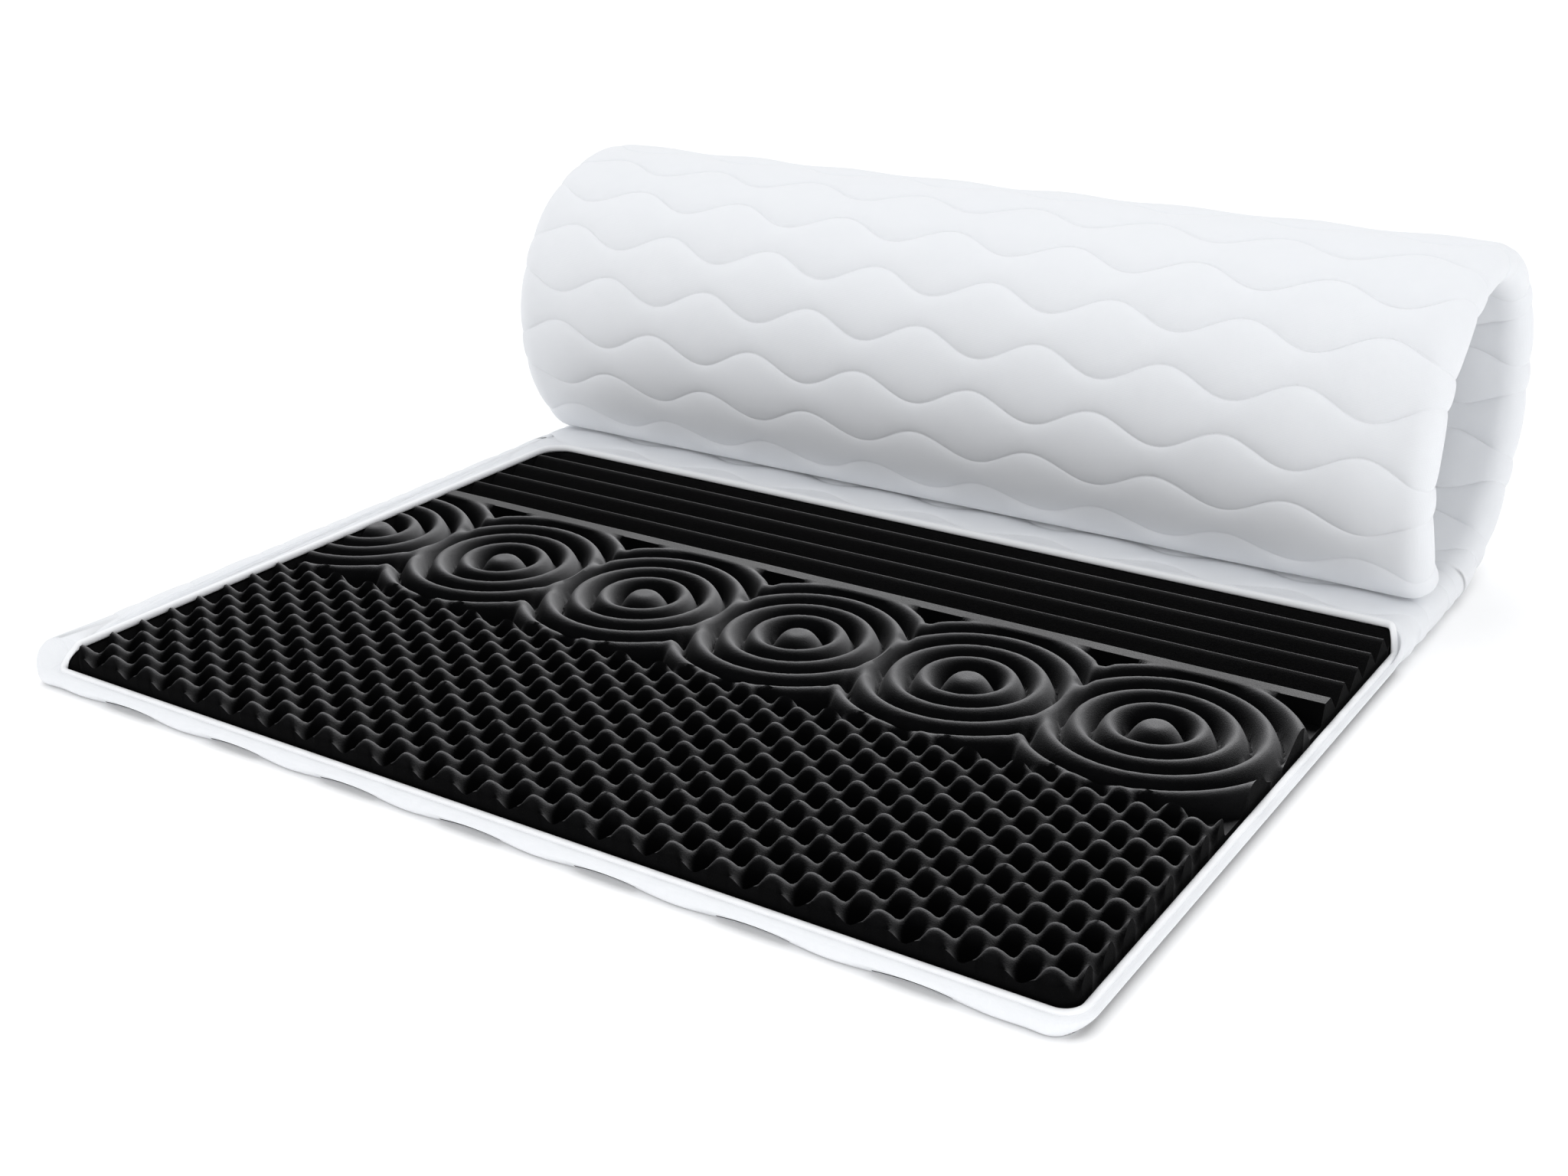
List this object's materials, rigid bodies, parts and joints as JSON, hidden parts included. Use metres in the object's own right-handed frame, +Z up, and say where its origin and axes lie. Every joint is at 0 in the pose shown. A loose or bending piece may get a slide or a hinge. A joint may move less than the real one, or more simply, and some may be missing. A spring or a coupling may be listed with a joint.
{
  "type": "mattress topper",
  "caption": "Quilted mattress topper lying flat with its far half rolled over into an open loop, and its cover cut away in front over a profiled foam core.",
  "frame": {"origin": "middle of the bounding box's underside, on the surface that the topper lies on", "axes": "+Z up, the cut-away front half towards -Y, the loop at the back with its open ends towards -X and +X"},
  "size_m": [1.207, 1.2068, 0.4115],
  "materials": {
    "cover": "cool white quilted knit, matte",
    "foam_core": "black polyurethane foam, satin on its cut profile",
    "window_piping": "white bound bead, smooth"
  },
  "bodies": {
    "root": {"cover": "cover", "foam_core": "foam_core", "window_piping": "window_piping"}
  },
  "joints": []
}
